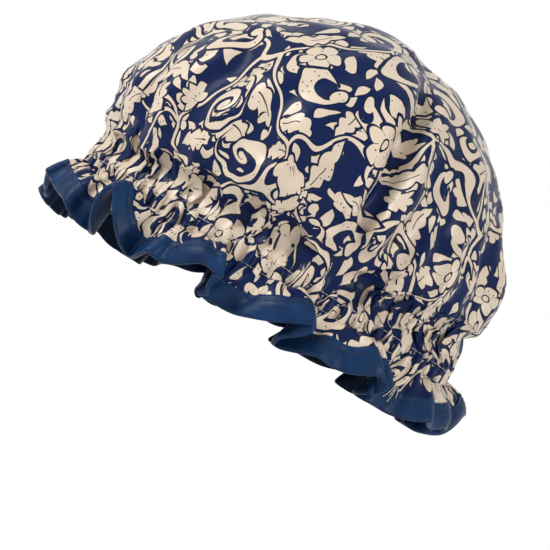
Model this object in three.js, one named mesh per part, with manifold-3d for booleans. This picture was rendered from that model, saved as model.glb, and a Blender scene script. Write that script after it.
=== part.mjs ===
// Shower cap: a circle of printed satin over a waterproof lining, gathered by an elastic band in a channel,
// with a frill past the elastic and a folded binding round its edge.
// Millimetres, +Z up, the forehead towards -Y and the nape towards +Y.
import * as THREE from "three";
import { mergeVertices } from "three/addons/utils/BufferGeometryUtils.js";
import Module from "manifold-3d";

// Driving dimensions
const OPENING_LENGTH = 205; // forehead to nape along the elastic
const OPENING_WIDTH = 155; // side to side along the elastic
const CROWN_HEIGHT = 135; // top of the crown above the middle of the elastic
const CROWN_FORWARD = 3; // how far the puffed crown leans towards the forehead
const BULGE_HEIGHT = 42; // level of the widest part above the middle of the elastic
const BULGE_OUT_ENDS = 6; // how far the crown stands out past the elastic at forehead and nape
const BULGE_OUT_SIDES = 17; // and at the sides
const LOWER_SHARE = 0.22; // share of the climb from channel to top that lies below the bulge
const DOME_POWER = 1.2; // 1 makes an even dome from the side, more makes its shoulders flatter
const FRILL_LENGTH = 25; // cloth from the bottom of the channel to the cut edge
const BINDING_WIDTH = 11; // seen height of the folded binding
const STITCH_INSET = 2.8; // stitch row below the top of the binding
const ELASTIC_WIDTH = 5;
const ELASTIC_THICKNESS = 0.5;
const CHANNEL_WIDTH = 7.5; // between the two stitch rows that close the channel
const SHELL_THICKNESS = 0.6;
const LINING_THICKNESS = 0.5;
const BINDING_THICKNESS = 0.6;
const FOLD_THICKNESS = 1.3; // binding below the cut edge, where the strip folds round it
const THREAD = 0.5; // stitch thread diameter
const TACK_THREAD = 0.4; // thread that joins the ends of the elastic
const CLEAR = 0.3; // clearance between neighbouring pieces
const FLOOR_CUT = 0.5; // depth of the flat rest cut on the lowest points of the frill

// Frill waves: the turn of each outward crest, in degrees round from the forehead
const CRESTS = [36, 70, 97, 121, 160, 186, 208, 238, 262, 290, 328, 356];
const STATIONS_PER_WAVE = 6;
const TUCKED_FLARE = 3; // degrees the frill leans out where it hangs lowest
const OPEN_FLARE_ENDS = 52; // degrees it leans out on the crests at forehead and nape
const OPEN_FLARE_SIDES = 64; // and at the sides
const BINDING_FLARE_SHARE = 0.45; // the binding hangs down more than the frill above it
const PLEAT_DEPTH = 2.4; // little pleats at the elastic
const FOLD_DEPTH = 4; // soft folds that run up into the crown
const FOLD_TOP = 0.5; // share of the climb at which they have faded out

// The one deep crease of the crown, on the wearer's left
const CREASE_TURN = 105; // degrees round from the forehead
const CREASE_HALF_TURN = 6; // degrees to each side of it over which the cloth dips
const CREASE_DEPTH = 11;
const CREASE_FOOT = 0.16; // shares of the climb: full depth from here
const CREASE_NECK = 0.5; // to here
const CREASE_TOP = 0.9; // and faded out here

// Small pieces at the nape
const LAP_STATIONS = 3; // stations that the elastic's ends overlap
const JOIN_CREST = 4; // crest on which the ends of the binding lap, counted from the forehead
const TAIL_WAVE = 3; // wave in whose hollow the thread tails hang, counted the same way
const TAIL_LENGTH = 7;
const TAIL_KNOT = 1.5;
const TAIL_STRANDS = 4;
const TAIL_THREAD = 0.45;

// Values that follow from them
const degrees = THREE.MathUtils.degToRad;
const { lerp, smoothstep } = THREE.MathUtils;
const STATIONS = CRESTS.length * STATIONS_PER_WAVE;
const DOME_RINGS = 6; // from the bulge up, the top point not counted
const LAP_STEP = ELASTIC_THICKNESS + CLEAR; // from the elastic to its lapped end
const LINING_ROOM = ELASTIC_THICKNESS / 2 + CLEAR;
const SHELL_ROOM = ELASTIC_THICKNESS / 2 + LAP_STEP + CLEAR + TACK_THREAD + CLEAR;
const EDGE_ROOM = CLEAR / 2; // each cloth from the middle surface at the cut edge
const UP = new THREE.Vector3(0, 0, 1);

const { Manifold, Mesh: SolidMesh } = await startManifold();

async function startManifold() {
  const kernel = await Module();
  kernel.setup();
  return kernel;
}

// Turn of a station, counted on from the first crest, the same number of stations in every wave
function stationTurn(station) {
  const whole = Math.floor(station / STATIONS);
  const inside = station - whole * STATIONS;
  const wave = Math.floor(inside / STATIONS_PER_WAVE);
  const from = CRESTS[wave];
  const to = wave + 1 < CRESTS.length ? CRESTS[wave + 1] : CRESTS[0] + 360;
  return degrees(whole * 360 + lerp(from, to, inside / STATIONS_PER_WAVE - wave));
}

// Lean of the frill at a station: widest on the crests, tucked in half way between them
function flare(station) {
  const swing = (1 + Math.cos((2 * Math.PI * station) / STATIONS_PER_WAVE)) / 2;
  const open = lerp(OPEN_FLARE_ENDS, OPEN_FLARE_SIDES, Math.sin(stationTurn(station)) ** 2);
  return degrees(lerp(TUCKED_FLARE, open, swing));
}

function oval(turn, halfWidth, halfLength, z) {
  return new THREE.Vector3(halfWidth * Math.sin(turn), -halfLength * Math.cos(turn), z);
}

function ovalOut(turn) {
  return new THREE.Vector3(Math.sin(turn) / OPENING_WIDTH, -Math.cos(turn) / OPENING_LENGTH, 0).normalize();
}

// The puffed dome; climb is 0 at the top of the channel and 1 at the top of the cap
function domePoint(turn, climb) {
  const halfWidth = OPENING_WIDTH / 2 + BULGE_OUT_SIDES;
  const halfLength = OPENING_LENGTH / 2 + BULGE_OUT_ENDS;
  if (climb < LOWER_SHARE) {
    const tuck = (Math.PI / 2) * (1 - climb / LOWER_SHARE);
    const inward = 1 - Math.cos(tuck);
    const z = lerp(BULGE_HEIGHT, CHANNEL_WIDTH / 2, Math.sin(tuck));
    return oval(turn, halfWidth - BULGE_OUT_SIDES * inward, halfLength - BULGE_OUT_ENDS * inward, z);
  }
  const over = ((Math.PI / 2) * (climb - LOWER_SHARE)) / (1 - LOWER_SHARE);
  const rise = Math.sin(over) ** DOME_POWER;
  const lengthwise = Math.cos(over) ** DOME_POWER;
  const crosswise = Math.sqrt(1 - rise * rise);
  return oval(turn, halfWidth * crosswise, halfLength * lengthwise, lerp(BULGE_HEIGHT, CROWN_HEIGHT, rise));
}

// How far the deep crease dips below the dome
function creaseDepth(turn, climb) {
  const aside = turn - degrees(CREASE_TURN);
  const gap = Math.atan2(Math.sin(aside), Math.cos(aside)) / degrees(CREASE_HALF_TURN);
  const hold = smoothstep(climb, 0, CREASE_FOOT) * (1 - smoothstep(climb, CREASE_NECK, CREASE_TOP));
  return CREASE_DEPTH * hold * Math.exp(-gap * gap);
}

// Middle surface of the crown: the dome, leaning forward, with its crease
function crownPoint(turn, climb) {
  const point = domePoint(turn, climb);
  const inward = new THREE.Vector3(0, 0, BULGE_HEIGHT).sub(point).normalize();
  point.addScaledVector(inward, creaseDepth(turn, climb));
  point.y -= CROWN_FORWARD * smoothstep(point.z, CHANNEL_WIDTH / 2, 2 * BULGE_HEIGHT);
  return point;
}

// Middle surface below the elastic; reach is the length of cloth from the bottom of the channel
function frillPoint(station, reach) {
  const turn = stationTurn(station);
  const lean = flare(station);
  const bend = FRILL_LENGTH - BINDING_WIDTH;
  const upper = Math.min(reach, bend);
  const lower = Math.max(reach - bend, 0);
  const hang = lean * BINDING_FLARE_SHARE;
  const out = upper * Math.sin(lean) + lower * Math.sin(hang);
  const down = upper * Math.cos(lean) + lower * Math.cos(hang);
  return oval(turn, OPENING_WIDTH / 2, OPENING_LENGTH / 2, -CHANNEL_WIDTH / 2 - down)
    .addScaledVector(ovalOut(turn), out);
}

// Rings of the cloth from the edge to the top: each has a station step, its share of layer room, and pleats
function clothRing(step, room, pleat, pointAt) {
  const points = [];
  for (let station = 0; station < STATIONS; station += step) {
    points.push(pointAt(station));
  }
  return { points, room, pleat };
}

function crownRing(step, pleat, climb) {
  return clothRing(step, 1, pleat, (station) => crownPoint(stationTurn(station), climb));
}

// Folded ring of the crown with half as many stations
function foldRing(climb) {
  return crownRing(2, FOLD_DEPTH * (1 - smoothstep(climb, 0, FOLD_TOP)), climb);
}

function frillRing(room, pleat, reach) {
  return clothRing(1, room, pleat, (station) => frillPoint(station, reach));
}

const edgeRing = frillRing(0, 0, FRILL_LENGTH);
const stitchRing = frillRing(0, 0, FRILL_LENGTH - BINDING_WIDTH + STITCH_INSET);
const bindingTopRing = frillRing(0, 0, FRILL_LENGTH - BINDING_WIDTH);
const channelBottomRing = frillRing(1, PLEAT_DEPTH, 0);
const channelTopRing = crownRing(1, PLEAT_DEPTH, 0);
const RINGS = [
  edgeRing,
  stitchRing,
  bindingTopRing,
  channelBottomRing,
  channelTopRing,
  foldRing(LOWER_SHARE / 2),
  ...Array.from({ length: DOME_RINGS }, (_, i) => foldRing(lerp(LOWER_SHARE, 1, i / DOME_RINGS))),
];
const TOP = crownPoint(0, 1);

// Triangles between two rings, the upper one with as many stations or half as many
function bandFaces(lower, lowerCount, upper, upperCount) {
  const faces = [];
  const ratio = lowerCount / upperCount;
  for (let i = 0; i < upperCount; i += 1) {
    const here = upper + i;
    const next = upper + ((i + 1) % upperCount);
    const low = Array.from({ length: ratio + 1 }, (_, k) => lower + ((i * ratio + k) % lowerCount));
    for (let k = 0; k < ratio; k += 1) {
      faces.push([low[k], low[k + 1], k < ratio / 2 ? here : next]);
      if (k === Math.ceil(ratio / 2) - 1) {
        faces.push([here, low[k + 1], next]);
      }
    }
  }
  return faces;
}

// One side of the cloth: numbering of the vertices ring by ring, then the top point
function clothFaces() {
  const faces = [];
  let lower = 0;
  for (let i = 0; i + 1 < RINGS.length; i += 1) {
    const upper = lower + RINGS[i].points.length;
    faces.push(...bandFaces(lower, RINGS[i].points.length, upper, RINGS[i + 1].points.length));
    lower = upper;
  }
  const count = RINGS[RINGS.length - 1].points.length;
  for (let i = 0; i < count; i += 1) {
    faces.push([lower + i, lower + ((i + 1) % count), lower + count]);
  }
  return faces;
}

function geometryFrom(points, faces) {
  const geometry = new THREE.BufferGeometry();
  geometry.setAttribute("position", new THREE.Float32BufferAttribute(points.flatMap((p) => p.toArray()), 3));
  geometry.setIndex(faces.flat());
  geometry.computeVertexNormals();
  return geometry;
}

const SIDE_FACES = clothFaces();
const SIDE_POINTS = [...RINGS.flatMap((ring) => ring.points), TOP];
const SIDE_NORMALS = vertexNormals(SIDE_POINTS, SIDE_FACES);

function vertexNormals(points, faces) {
  const normal = geometryFrom(points, faces).getAttribute("normal");
  return points.map((_, i) => new THREE.Vector3().fromBufferAttribute(normal, i));
}

function ringStart(ring) {
  return RINGS.slice(0, RINGS.indexOf(ring)).reduce((sum, r) => sum + r.points.length, 0);
}

// Distance of a cloth's near face from the middle surface at each vertex: layer room plus its pleats
function clothOffsets(room) {
  const offsets = [];
  for (const ring of RINGS) {
    ring.points.forEach((_, i) => {
      const pleat = i % 2 === 0 ? ring.pleat : 0;
      offsets.push(lerp(EDGE_ROOM, room, ring.room) + pleat);
    });
  }
  offsets.push(room);
  return offsets;
}

const SHELL_OFFSETS = clothOffsets(SHELL_ROOM);
const LINING_OFFSETS = clothOffsets(LINING_ROOM).map((offset) => -offset);

function offsetPoints(offsets, extra) {
  return SIDE_POINTS.map((p, i) => p.clone().addScaledVector(SIDE_NORMALS[i], offsets[i] + extra));
}

// A closed cloth of even thickness between two offsets of the middle surface
function clothSolid(offsets, innerExtra, outerExtra) {
  const outer = offsetPoints(offsets, outerExtra);
  const inner = offsetPoints(offsets, innerExtra);
  const shift = outer.length;
  const faces = [...SIDE_FACES, ...SIDE_FACES.map(([a, b, c]) => [a + shift, c + shift, b + shift])];
  for (let i = 0; i < STATIONS; i += 1) {
    const next = (i + 1) % STATIONS;
    faces.push([i, shift + i, next], [next, shift + i, shift + next]);
  }
  return geometryFrom([...outer, ...inner], faces);
}

// A closed ring swept through equal loops of section points, one loop per station; the sides that run down
// the cloth are split along the other diagonal, so that they lie parallel to the triangles of the cloth
function ringSolid(loops, runsDown) {
  const count = loops[0].length;
  const faces = [];
  loops.forEach((_, i) => {
    const here = i * count;
    const next = ((i + 1) % loops.length) * count;
    for (let k = 0; k < count; k += 1) {
      const up = (k + 1) % count;
      if (runsDown && runsDown(k)) {
        faces.push([here + k, here + up, next + up], [here + k, next + up, next + k]);
      } else {
        faces.push([here + k, here + up, next + k], [here + up, next + up, next + k]);
      }
    }
  });
  return geometryFrom(loops.flat(), faces);
}

// The same, with two flat ends
function stripSolid(loops) {
  const count = loops[0].length;
  const faces = [];
  for (let i = 0; i + 1 < loops.length; i += 1) {
    const here = i * count;
    const next = here + count;
    for (let k = 0; k < count; k += 1) {
      const up = (k + 1) % count;
      faces.push([here + k, here + up, next + k], [here + up, next + up, next + k]);
    }
  }
  const last = (loops.length - 1) * count;
  for (let k = 1; k + 1 < count; k += 1) {
    faces.push([0, k + 1, k], [last, last + k, last + k + 1]);
  }
  return geometryFrom(loops.flat(), faces);
}

// Cloth vertex and its directions at a ring and station: out of the cloth, and down along it
function clothFrame(ring, station) {
  const index = ringStart(ring) + station;
  const above = ring === edgeRing ? stitchRing : ring;
  const below = RINGS[RINGS.indexOf(above) - 1];
  const down = below.points[station].clone().sub(above.points[station]).normalize();
  return { point: SIDE_POINTS[index], out: SIDE_NORMALS[index], down, index };
}

function framePoint(frame, outward, downward) {
  return frame.point.clone().addScaledVector(frame.out, outward).addScaledVector(frame.down, downward);
}

// Binding: a folded strip whose walls lie outside the shell and inside the lining
const SHELL_WALL = EDGE_ROOM + SHELL_THICKNESS + CLEAR;
const LINING_WALL = EDGE_ROOM + LINING_THICKNESS + CLEAR;

function bindingLoop(station) {
  const top = clothFrame(bindingTopRing, station);
  const row = clothFrame(stitchRing, station);
  const edge = clothFrame(edgeRing, station);
  return [
    framePoint(top, SHELL_WALL + BINDING_THICKNESS, 0),
    framePoint(row, SHELL_WALL + BINDING_THICKNESS, 0),
    framePoint(edge, SHELL_WALL + BINDING_THICKNESS, CLEAR + FOLD_THICKNESS),
    framePoint(edge, -LINING_WALL - BINDING_THICKNESS, CLEAR + FOLD_THICKNESS),
    framePoint(row, -LINING_WALL - BINDING_THICKNESS, 0),
    framePoint(top, -LINING_WALL - BINDING_THICKNESS, 0),
    framePoint(top, -LINING_WALL, 0),
    framePoint(row, -LINING_WALL, 0),
    framePoint(edge, -LINING_WALL, CLEAR),
    framePoint(edge, SHELL_WALL, CLEAR),
    framePoint(row, SHELL_WALL, 0),
    framePoint(top, SHELL_WALL, 0),
  ];
}

// Round section of a thread, three-sided at this size
function threadLoop(centre, out, along, diameter) {
  return [0, 1, 2].map((k) => {
    const angle = (2 * Math.PI * k) / 3;
    return centre.clone()
      .addScaledVector(out, (diameter / 2) * Math.cos(angle))
      .addScaledVector(along, (diameter / 2) * Math.sin(angle));
  });
}

// Thread that runs all round on a ring, its middle at the given offset from the middle surface
function threadRing(ring, offsetAt) {
  const loops = [];
  for (let station = 0; station < STATIONS; station += 1) {
    const frame = clothFrame(ring, station);
    loops.push(threadLoop(framePoint(frame, offsetAt(frame.index), 0), frame.out, frame.down, THREAD));
  }
  return ringSolid(loops);
}

const OVER_SHELL = SHELL_THICKNESS + CLEAR + THREAD / 2;
const UNDER_LINING = LINING_THICKNESS + CLEAR + THREAD / 2;
const OVER_BINDING = BINDING_THICKNESS + CLEAR + THREAD / 2;

// Elastic: a flat strip round the opening whose last stations lie over its first ones at the nape
const LAP_START = Array.from({ length: STATIONS }, (_, i) => i).find((i) => stationTurn(i) > Math.PI);

function elasticFrame(station) {
  const turn = stationTurn(station);
  const point = oval(turn, OPENING_WIDTH / 2, OPENING_LENGTH / 2, 0);
  return { point, out: ovalOut(turn), down: UP.clone().negate() };
}

function elasticLoop(step) {
  const frame = elasticFrame(LAP_START + step);
  const middle = step < STATIONS ? 0 : LAP_STEP;
  const half = ELASTIC_THICKNESS / 2;
  return [
    framePoint(frame, middle - half, -ELASTIC_WIDTH / 2),
    framePoint(frame, middle + half, -ELASTIC_WIDTH / 2),
    framePoint(frame, middle + half, ELASTIC_WIDTH / 2),
    framePoint(frame, middle - half, ELASTIC_WIDTH / 2),
  ];
}

function elasticStrip() {
  const loops = [];
  for (let step = 0; step <= STATIONS + LAP_STATIONS; step += 1) {
    loops.push(elasticLoop(step));
  }
  return stripSolid(loops);
}

// Zigzag over the lapped ends, up and down the elastic from station to station
function elasticTack() {
  const loops = [];
  const swing = ELASTIC_WIDTH / 2 - TACK_THREAD;
  const outward = LAP_STEP + ELASTIC_THICKNESS / 2 + CLEAR + TACK_THREAD / 2;
  for (let step = 0; step <= LAP_STATIONS; step += 1) {
    const frame = elasticFrame(LAP_START + step);
    const centre = framePoint(frame, outward, step % 2 === 0 ? swing : -swing);
    loops.push(threadLoop(centre, frame.out, frame.down, TACK_THREAD));
  }
  return stripSolid(loops);
}

// Short row across the binding on the crest next to the nape, where its ends lap
const JOIN_STATION = STATIONS_PER_WAVE * JOIN_CREST;

function bindingJoin() {
  const outward = SHELL_WALL + OVER_BINDING;
  const overRow = outward + THREAD + CLEAR; // it crosses over the stitch row
  const before = clothFrame(stitchRing, JOIN_STATION - 1).point;
  const side = clothFrame(stitchRing, JOIN_STATION + 1).point.clone().sub(before).normalize();
  const heights = [[edgeRing, outward], [stitchRing, overRow], [bindingTopRing, outward]];
  const loops = heights.map(([ring, offset]) => {
    const frame = clothFrame(ring, JOIN_STATION);
    return threadLoop(framePoint(frame, offset, 0), frame.out, side, THREAD);
  });
  return stripSolid(loops);
}

// Loose ends of the stitch thread: a knot and a few strands that hang over the binding
const TAIL_STATION = STATIONS_PER_WAVE * TAIL_WAVE + STATIONS_PER_WAVE / 2;

function solidOf(geometry) {
  const bare = geometry.clone();
  bare.deleteAttribute("normal");
  bare.deleteAttribute("uv");
  const merged = mergeVertices(bare);
  const vertProperties = new Float32Array(merged.getAttribute("position").array);
  const triVerts = new Uint32Array(merged.getIndex().array);
  return new Manifold(new SolidMesh({ numProp: 3, vertProperties, triVerts }));
}

function geometryOf(solid) {
  const mesh = solid.getMesh();
  const geometry = new THREE.BufferGeometry();
  geometry.setAttribute("position", new THREE.Float32BufferAttribute(mesh.vertProperties, 3));
  geometry.setIndex(Array.from(mesh.triVerts));
  geometry.computeVertexNormals();
  return geometry;
}

function threadTails() {
  const frame = clothFrame(bindingTopRing, TAIL_STATION);
  const side = new THREE.Vector3().crossVectors(frame.down, frame.out).normalize();
  const outward = SHELL_WALL + BINDING_THICKNESS + CLEAR + TAIL_KNOT / 2;
  const knotAt = framePoint(frame, outward, 0);
  let solid = solidOf(new THREE.SphereGeometry(TAIL_KNOT / 2, 12, 6).translate(...knotAt.toArray()));
  for (let strand = 0; strand < TAIL_STRANDS; strand += 1) {
    const spread = strand / (TAIL_STRANDS - 1) - 0.5;
    const loops = [0, 0.35, 0.7, 1].map((t) => {
      const lift = outward + Math.sin(t * Math.PI) * Math.abs(spread);
      const fall = t * TAIL_LENGTH * (1 - spread / 4);
      const centre = framePoint(frame, lift, fall).addScaledVector(side, spread * TAIL_KNOT * 2 * t);
      return threadLoop(centre, frame.out, side, TAIL_THREAD);
    });
    solid = solid.add(solidOf(stripSolid(loops)));
  }
  return geometryOf(solid);
}

// Materials
const SATIN_PRINT = new THREE.MeshStandardMaterial({ color: 0xe4d4bf, roughness: 0.4 });
const SATIN_NAVY = new THREE.MeshStandardMaterial({ color: 0x233f66, roughness: 0.4 });
const WHITE_FILM = new THREE.MeshStandardMaterial({ color: 0xdfe5e8, roughness: 0.45 });
const WHITE_ELASTIC = new THREE.MeshStandardMaterial({ color: 0xf0f0ec, roughness: 0.8 });
const NAVY_THREAD = new THREE.MeshStandardMaterial({ color: 0x16263f, roughness: 0.6 });
const PALE_THREAD = new THREE.MeshStandardMaterial({ color: 0xd8d8d2, roughness: 0.6 });

const cap = new THREE.Group();
cap.name = "shower_cap";

function addPiece(name, geometry, material) {
  const piece = new THREE.Mesh(geometry, material);
  piece.name = name;
  cap.add(piece);
  return piece;
}

// The lowest points of the binding are cut to one flat level, on which the cap rests
const bindingLoops = Array.from({ length: STATIONS }, (_, station) => bindingLoop(station));
const bindingWhole = ringSolid(bindingLoops, (side) => side < 2 || (side > 5 && side < 8));
bindingWhole.computeBoundingBox();
const FLOOR = bindingWhole.boundingBox.min.z + FLOOR_CUT;
const SPAN = 4 * OPENING_LENGTH;
const belowFloor = new THREE.BoxGeometry(SPAN, SPAN, SPAN).translate(0, 0, FLOOR - SPAN / 2);
const bindingCut = geometryOf(solidOf(bindingWhole).subtract(solidOf(belowFloor)));

addPiece("crown_shell", clothSolid(SHELL_OFFSETS, 0, SHELL_THICKNESS), SATIN_PRINT);
addPiece("waterproof_lining", clothSolid(LINING_OFFSETS, -LINING_THICKNESS, 0), WHITE_FILM);
addPiece("elastic_band", elasticStrip(), WHITE_ELASTIC);
addPiece("elastic_join_thread", elasticTack(), PALE_THREAD);
addPiece("edge_binding", bindingCut, SATIN_NAVY);
addPiece("binding_needle_thread", threadRing(stitchRing, () => SHELL_WALL + OVER_BINDING), NAVY_THREAD);
addPiece("binding_bobbin_thread", threadRing(stitchRing, () => -LINING_WALL - OVER_BINDING), NAVY_THREAD);
addPiece("binding_join_thread", bindingJoin(), NAVY_THREAD);
for (const [level, ring] of [["top", channelTopRing], ["bottom", channelBottomRing]]) {
  const needle = threadRing(ring, (i) => SHELL_OFFSETS[i] + OVER_SHELL);
  const bobbin = threadRing(ring, (i) => LINING_OFFSETS[i] - UNDER_LINING);
  addPiece(`channel_${level}_needle_thread`, needle, PALE_THREAD);
  addPiece(`channel_${level}_bobbin_thread`, bobbin, PALE_THREAD);
}
addPiece("thread_tails", threadTails(), PALE_THREAD);

// Stand the cap on the floor, in the middle of its own outline
const box = new THREE.Box3().setFromObject(cap);
const middle = box.getCenter(new THREE.Vector3());
cap.position.set(-middle.x, -middle.y, -FLOOR);

export default cap;
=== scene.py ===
import math

import bmesh
import bpy
import numpy as np
from mathutils import Matrix, Vector
from mathutils.bvhtree import BVHTree


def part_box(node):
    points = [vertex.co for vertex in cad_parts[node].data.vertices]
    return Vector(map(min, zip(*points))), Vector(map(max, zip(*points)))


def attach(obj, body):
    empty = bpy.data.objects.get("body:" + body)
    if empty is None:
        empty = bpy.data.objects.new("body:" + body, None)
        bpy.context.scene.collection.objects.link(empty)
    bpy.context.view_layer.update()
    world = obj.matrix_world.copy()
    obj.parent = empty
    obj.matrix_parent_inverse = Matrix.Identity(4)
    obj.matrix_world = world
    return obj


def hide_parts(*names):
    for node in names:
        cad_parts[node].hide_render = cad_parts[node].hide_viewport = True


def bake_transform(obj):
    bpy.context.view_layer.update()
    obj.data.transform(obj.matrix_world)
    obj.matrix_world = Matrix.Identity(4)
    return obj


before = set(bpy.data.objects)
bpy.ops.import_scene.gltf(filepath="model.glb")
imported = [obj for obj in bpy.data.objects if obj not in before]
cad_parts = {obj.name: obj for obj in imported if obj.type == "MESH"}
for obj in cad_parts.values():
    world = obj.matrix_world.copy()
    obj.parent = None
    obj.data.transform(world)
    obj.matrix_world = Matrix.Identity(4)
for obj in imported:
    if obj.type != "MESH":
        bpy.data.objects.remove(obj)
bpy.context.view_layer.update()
scene = bpy.context.scene

# Sizes of the cap, in millimetres
MM = 0.001
TAU = 2 * math.pi
OPENING_LENGTH = 205.0
OPENING_WIDTH = 155.0
CROWN_HEIGHT = 137.5
CROWN_FORWARD = 3.0
TOP_BACK = 6.0
TOP_BACK_FROM = 95.0
BULGE_HEIGHT = 45.0
BULGE_OUT_ENDS = 7.0
BULGE_OUT_SIDES = 17.0
LOWER_SHARE = 0.22
DOME_POWER = 1.22
CHANNEL_WIDTH = 7.5
FRILL_LENGTH = 25.0
BINDING_WIDTH = 11.0
STITCH_INSET = 2.8

# The cut circle: rings of the flat cloth, as radii from its middle
GATHER_RING = 196.0
CHANNEL_TOP = GATHER_RING - CHANNEL_WIDTH / 2
CHANNEL_BOTTOM = GATHER_RING + CHANNEL_WIDTH / 2
CUT_EDGE = CHANNEL_BOTTOM + FRILL_LENGTH
BINDING_TOP = CUT_EDGE - BINDING_WIDTH
STITCH_ROW = BINDING_TOP + STITCH_INSET
RIM_START = 150.0
RIM_STEPS = 720
RING_MATCH = 0.05
# Zones of the crown: first and last ring, rings, and how many times fewer corners than at the rim
CROWN_ZONES = [(93.0, 146.5, 18, 2), (42.0, 89.5, 15, 4), (12.0, 38.5, 8, 8)]

# Layers through the cloth, measured from its middle surface
SHELL_THICKNESS = 0.4
LINING_DEPTH = 0.9
LINING_THICKNESS = 0.3
BINDING_THICKNESS = 0.5
BINDING_OUT = 0.3
BINDING_IN = 1.25
ELASTIC_THICKNESS = 0.5

# The frill's crests: turn in degrees from the front, lean from straight down, roll towards the back, and
# the lean of the hollow that follows with its share of the way to the next crest
CRESTS = [(11, 97, 0, 11, 0.76), (49, 128, 0, 22, 0.42), (75, 116, 10, 32, 0.5), (98, 112, 14, 30, 0.5),
          (120, 106, 15, 8, 0.5), (160, 84, 11, 6, 0.5), (186, 118, 2, 8, 0.5), (208, 98, -8, 6, 0.5),
          (238, 104, -15, 28, 0.5), (262, 108, -14, 32, 0.5), (290, 106, -10, 4, 0.5), (326, 36, 4, 20, 0.5)]
FRILL_RIPPLES = 41
RIPPLE_LEAN = 6.0
FRILL_DROOP = 0.74
DROOP_POWER = 1.5
ROLL_POWER = 1.2
FRILL_SAMPLES = 24
PLEATS = 80
PLEAT_DEPTH = 3.7
PLEAT_SQUARE = 0.06
PLEAT_FADE = 13.0
PLEAT_TURN_OUT = (-6, -1)

# Creases of the crown: turn at the gather, turn at the far end, length, depth, width
CREASES = [(16, 13, 70, 4.0, 6.0), (34, 27, 84, 5.0, 6.0), (49, 53, 104, 6.0, 7.0), (63, 74, 84, 5.0, 6.0),
           (78, 86, 62, 4.5, 5.0), (91, 101, 104, 6.0, 7.0), (115, 126, 124, 7.0, 6.0),
           (128, 135, 108, 6.5, 6.0), (143, 148, 96, 6.0, 6.0), (158, 162, 100, 6.5, 6.0),
           (184, 188, 78, 4.5, 6.0), (207, 203, 92, 5.5, 6.0), (229, 234, 84, 4.5, 6.0),
           (252, 250, 100, 6.0, 6.0), (275, 279, 86, 5.0, 6.0), (299, 294, 96, 5.5, 6.0),
           (322, 326, 78, 4.0, 6.0), (346, 344, 84, 5.0, 6.0)]
CREASE_RISE = (-1, 10)
CREASE_FADE = (0.4, 1.15)
# Shorter folds that run up from the gather between them, in the same terms
SHORT_COUNT = 46
SHORT_LENGTH = 50
SHORT_DEPTH = 2.0
SHORT_WIDTH = 3.4
SHORT_CREASES = [(360 * i / SHORT_COUNT + 2 * math.sin(5 * i), 360 * i / SHORT_COUNT + 5 * math.sin(3 * i),
                  SHORT_LENGTH + 20 * math.sin(2 * i), SHORT_DEPTH + 0.8 * math.sin(7 * i), SHORT_WIDTH)
                 for i in range(SHORT_COUNT)]
# The one deep crease, from the gather over the near side to the top: ring of the flat cloth, turn
DEEP_CREASE = [(192, 108), (161, 104), (119, 106), (82, 109), (40, 118), (15, 150)]
DEEP_DEPTH = 13.0
DEEP_WIDTH = 5.5
DEEP_SHIFT = 1.5
DEEP_RISE = (4, 60)
DEEP_TOP_FADE = (20, 95)
DEEP_LIP = 2.5
DEEP_OVERLAP = 4.5
LIP_ASIDE = 7
LIP_WIDTH = 6

rim_low, rim_high = (np.array(corner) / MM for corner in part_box("elastic_band"))
RIM_CENTRE = np.array([(rim_low[0] + rim_high[0]) / 2,
                       rim_low[1] + OPENING_LENGTH / 2 + ELASTIC_THICKNESS / 2,
                       (rim_low[2] + rim_high[2]) / 2])


def oval(turn, half_width, half_length):
    return half_width * np.sin(turn), -half_length * np.cos(turn)


def ramp(value, low, high):
    share = np.clip((value - low) / (high - low), 0, 1)
    return share * share * (3 - 2 * share)


def crown_point(turn, climb):
    """The puffed crown: climb runs from the gather, 0, over the bulge to the top, 1."""
    half_width = OPENING_WIDTH / 2 + BULGE_OUT_SIDES
    half_length = OPENING_LENGTH / 2 + BULGE_OUT_ENDS
    tuck = 1 - np.minimum(climb, LOWER_SHARE) / LOWER_SHARE
    over = np.pi / 2 * np.maximum(climb - LOWER_SHARE, 0) / (1 - LOWER_SHARE)
    rise = np.sin(over) ** DOME_POWER
    lengthwise = np.maximum(np.cos(over), 0) ** DOME_POWER
    crosswise = np.sqrt(np.maximum(1 - rise * rise, 0))
    below = climb < LOWER_SHARE
    x, y = oval(turn, np.where(below, half_width - BULGE_OUT_SIDES * tuck ** 2, half_width * crosswise),
                np.where(below, half_length - BULGE_OUT_ENDS * tuck ** 2, half_length * lengthwise))
    z = np.where(below, BULGE_HEIGHT + (CHANNEL_WIDTH / 2 - BULGE_HEIGHT) * tuck,
                 BULGE_HEIGHT + (CROWN_HEIGHT - BULGE_HEIGHT) * rise)
    y = y - CROWN_FORWARD * ramp(z, CHANNEL_WIDTH / 2, 2 * BULGE_HEIGHT)
    y = y + TOP_BACK * ramp(z, TOP_BACK_FROM, CROWN_HEIGHT)
    return np.stack(np.broadcast_arrays(x, y, z), -1)


# Equal steps along the cloth from gather to top, for each turn
TURN_STEPS, SHARE_STEPS = 180, 240
turn_table = np.linspace(0, TAU, TURN_STEPS + 1)
climb_steps = np.linspace(0, 1, SHARE_STEPS + 1)
climb_paths = crown_point(turn_table[:, None], climb_steps[None, :])
path_lengths = np.cumsum(np.linalg.norm(np.diff(climb_paths, axis=1), axis=2), axis=1)
climb_table = np.array([np.interp(climb_steps * path[-1], np.insert(path, 0, 0), climb_steps)
                        for path in path_lengths])


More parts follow.
